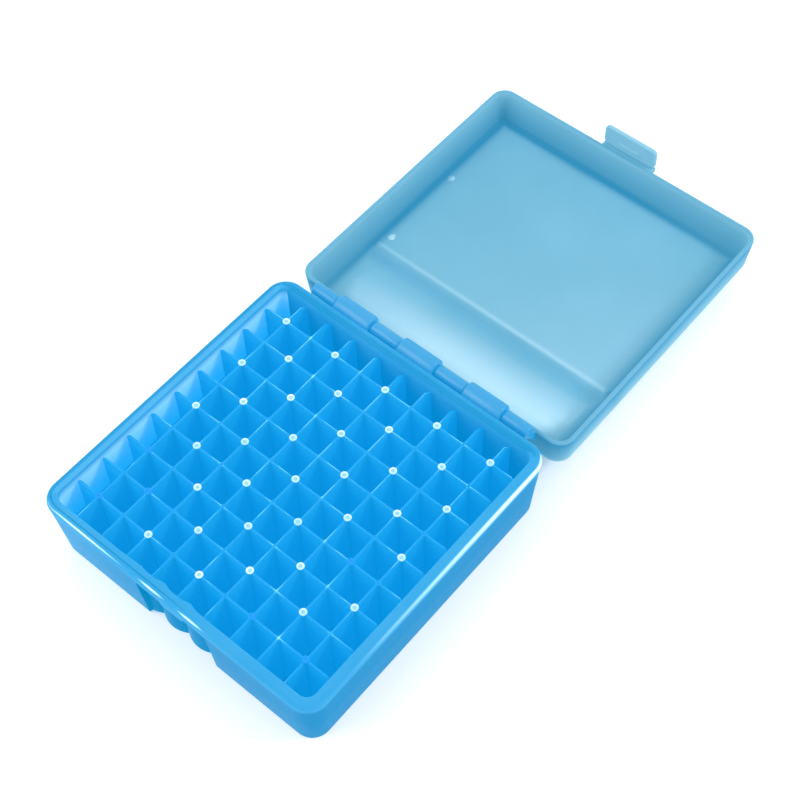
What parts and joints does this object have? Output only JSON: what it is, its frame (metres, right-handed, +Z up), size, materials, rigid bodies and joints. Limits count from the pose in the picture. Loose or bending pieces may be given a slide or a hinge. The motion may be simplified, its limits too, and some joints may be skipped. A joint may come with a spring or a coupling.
{
  "type": "test tube rack",
  "caption": "Hinged clamshell storage rack for small sample tubes: square celled tray with a fold-back lid and a front latch tab.",
  "frame": {"origin": "centre of the tray's flat underside", "axes": "+X along the hinge, +Y from the tray towards the opened lid, +Z up out of the cells"},
  "size_m": [0.14, 0.2915, 0.0371],
  "materials": {
    "tray_plastic": "translucent blue moulded polypropylene, satin",
    "grid_plastic": "translucent blue moulded polypropylene, satin",
    "pad_plastic": "small polished ejector pads that catch the light",
    "lid_plastic": "translucent blue moulded polypropylene, satin, thinner section"
  },
  "bodies": {
    "tray": {"crossing_pads": "pad_plastic", "front_catch": "tray_plastic", "hinge_barrel_1": "tray_plastic", "hinge_barrel_2": "tray_plastic", "hinge_barrel_3": "tray_plastic", "partition_crosswise_1": "grid_plastic", "partition_crosswise_2": "grid_plastic", "partition_crosswise_3": "grid_plastic", "partition_crosswise_4": "grid_plastic", "partition_crosswise_5": "grid_plastic", "partition_crosswise_6": "grid_plastic", "partition_crosswise_7": "grid_plastic", "partition_crosswise_8": "grid_plastic", "partition_crosswise_9": "grid_plastic", "partition_lengthwise_1": "grid_plastic", "partition_lengthwise_2": "grid_plastic", "partition_lengthwise_3": "grid_plastic", "partition_lengthwise_4": "grid_plastic", "partition_lengthwise_5": "grid_plastic", "partition_lengthwise_6": "grid_plastic", "partition_lengthwise_7": "grid_plastic", "partition_lengthwise_8": "grid_plastic", "partition_lengthwise_9": "grid_plastic", "tray_corner_front_left": "tray_plastic", "tray_corner_front_right": "tray_plastic", "tray_corner_rear_left": "tray_plastic", "tray_corner_rear_right": "tray_plastic", "tray_finger_flutes": "tray_plastic", "tray_floor": "tray_plastic", "tray_rim_bridge": "tray_plastic", "tray_wall_front_left": "tray_plastic", "tray_wall_front_right": "tray_plastic", "tray_wall_left": "tray_plastic", "tray_wall_rear": "tray_plastic", "tray_wall_right": "tray_plastic"},
    "lid": {"hinge_knuckle_1": "lid_plastic", "hinge_knuckle_2": "lid_plastic", "hinge_knuckle_3": "lid_plastic", "hinge_knuckle_4": "lid_plastic", "latch_root": "lid_plastic", "lid_corner_front_left": "lid_plastic", "lid_corner_front_right": "lid_plastic", "lid_corner_rear_left": "lid_plastic", "lid_corner_rear_right": "lid_plastic", "lid_panel": "lid_plastic", "lid_wall_front": "lid_plastic", "lid_wall_left": "lid_plastic", "lid_wall_rear": "lid_plastic", "lid_wall_right": "lid_plastic"},
    "latch": {"latch_rib": "lid_plastic", "latch_tab": "lid_plastic"}
  },
  "joints": [
    {"name": "lid_hinge", "type": "hinge", "parent": "tray", "child": "lid", "pos_m": [0, 0.0742, 0.0307], "axis": [1, 0, 0], "range_deg": [0, 180]},
    {"name": "latch_flex", "type": "hinge", "parent": "lid", "child": "latch", "pos_m": [0, 0.2205, 0.0266], "axis": [-1, 0, 0], "range_deg": [0, 10], "stiffness_Nm_per_rad": 0.05}
  ]
}
